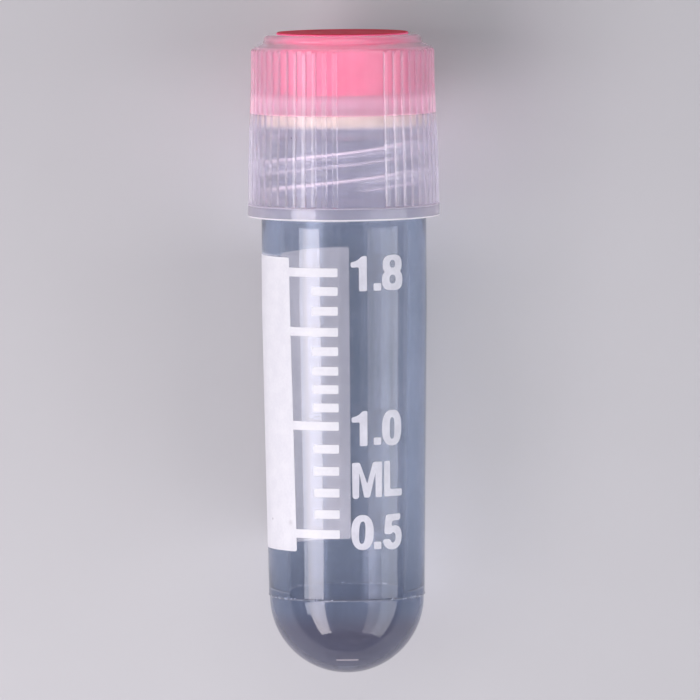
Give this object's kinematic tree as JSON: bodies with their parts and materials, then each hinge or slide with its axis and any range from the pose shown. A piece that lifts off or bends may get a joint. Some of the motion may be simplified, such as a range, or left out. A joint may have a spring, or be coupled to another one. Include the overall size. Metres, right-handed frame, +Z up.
{
  "type": "cryovial",
  "caption": "Round-bottomed translucent sample vial with an external-thread ribbed screw cap, a colour insert in the cap and a printed volume scale, lying on its side.",
  "frame": {"origin": "centre of the vial's box on the surface that it lies on", "axes": "+X from the round bottom to the cap, with the vial's own axis rising 2.6 degrees towards the cap, +Z up, out through the printed scale"},
  "size_m": [0.0482, 0.0144, 0.0146],
  "materials": {
    "tube_plastic": "natural translucent polypropylene, moulded gloss",
    "cap_plastic": "natural translucent polypropylene, moulded gloss",
    "insert_plastic": "coloured polypropylene, satin",
    "seal_silicone": "soft cream-white silicone, matt"
  },
  "bodies": {
    "tube": {"tube": "tube_plastic"},
    "seal": {"sealing_disc": "seal_silicone"},
    "cap": {"screw_cap": "cap_plastic", "colour_insert": "insert_plastic"}
  },
  "joints": [
    {"name": "cap_rise", "type": "slide", "parent": "tube", "child": "seal", "axis": [0.999, 0, 0.0457], "range_m": [0, 0.01025]},
    {"name": "cap_turn", "type": "hinge", "parent": "seal", "child": "cap", "pos_m": [0.01685, 0, 0.00747], "axis": [0.999, 0, 0.0457], "range_deg": [0, 900]}
  ],
  "couplings": [
    {"joint": "cap_turn", "follows": "cap_rise", "rad_per_m": 1532.5}
  ]
}
